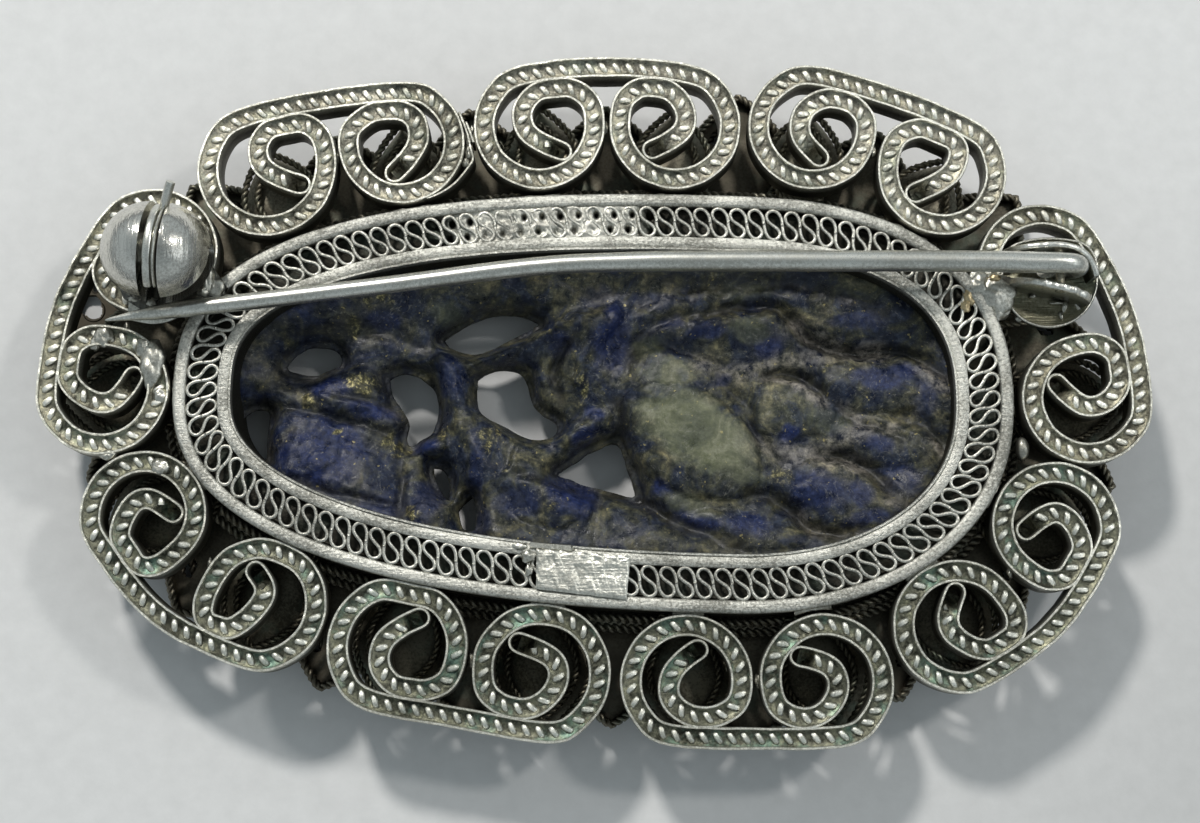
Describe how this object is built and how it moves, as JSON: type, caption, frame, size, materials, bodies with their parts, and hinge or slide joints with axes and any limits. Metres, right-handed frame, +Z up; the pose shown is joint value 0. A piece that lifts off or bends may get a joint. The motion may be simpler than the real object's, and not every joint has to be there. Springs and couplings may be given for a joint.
{
  "type": "filigree brooch",
  "caption": "Oval silver filigree brooch lying face down: pierced lapis plaque in a wire-filled band, ring of double scrolls, hinged pin and ball safety catch.",
  "frame": {"origin": "middle of the plan outline, on the plane that the front petals lie on", "axes": "+X along the oval from the ball catch to the hinge, +Y across it, +Z up out of the brooch's back, where the pin is"},
  "size_m": [0.0564, 0.0355, 0.0101],
  "materials": {
    "silver": "worn silver with bright edges",
    "dark_silver": "tarnished silver",
    "bright_silver": "polished silver",
    "lapis": "carved stone, satin"
  },
  "bodies": {
    "brooch": {"bezel": "silver", "mark_plate": "bright_silver", "scroll_a": "silver", "scroll_b": "silver", "scroll_c": "silver", "scroll_d": "silver", "scroll_e": "silver", "scroll_f": "silver", "scroll_g": "silver", "scroll_h": "silver", "scroll_i": "silver", "front_petals": "dark_silver", "stone": "lapis", "hinge_bracket": "silver", "hinge_rivet": "bright_silver", "catch_ball": "silver"},
    "pin": {"pin_stem": "bright_silver"},
    "catch_ring": {"catch_rotor": "bright_silver"}
  },
  "joints": [
    {"name": "pin_hinge", "type": "hinge", "parent": "brooch", "child": "pin", "pos_m": [0.0234, 0.0064, 0.00675], "axis": [0, 1, 0], "range_deg": [0, 75]},
    {"name": "catch_turn", "type": "hinge", "parent": "brooch", "child": "catch_ring", "pos_m": [-0.02163, 0.00691, 0.0076], "axis": [0.9962, -0.0872, 0], "range_deg": [0, 75]}
  ]
}
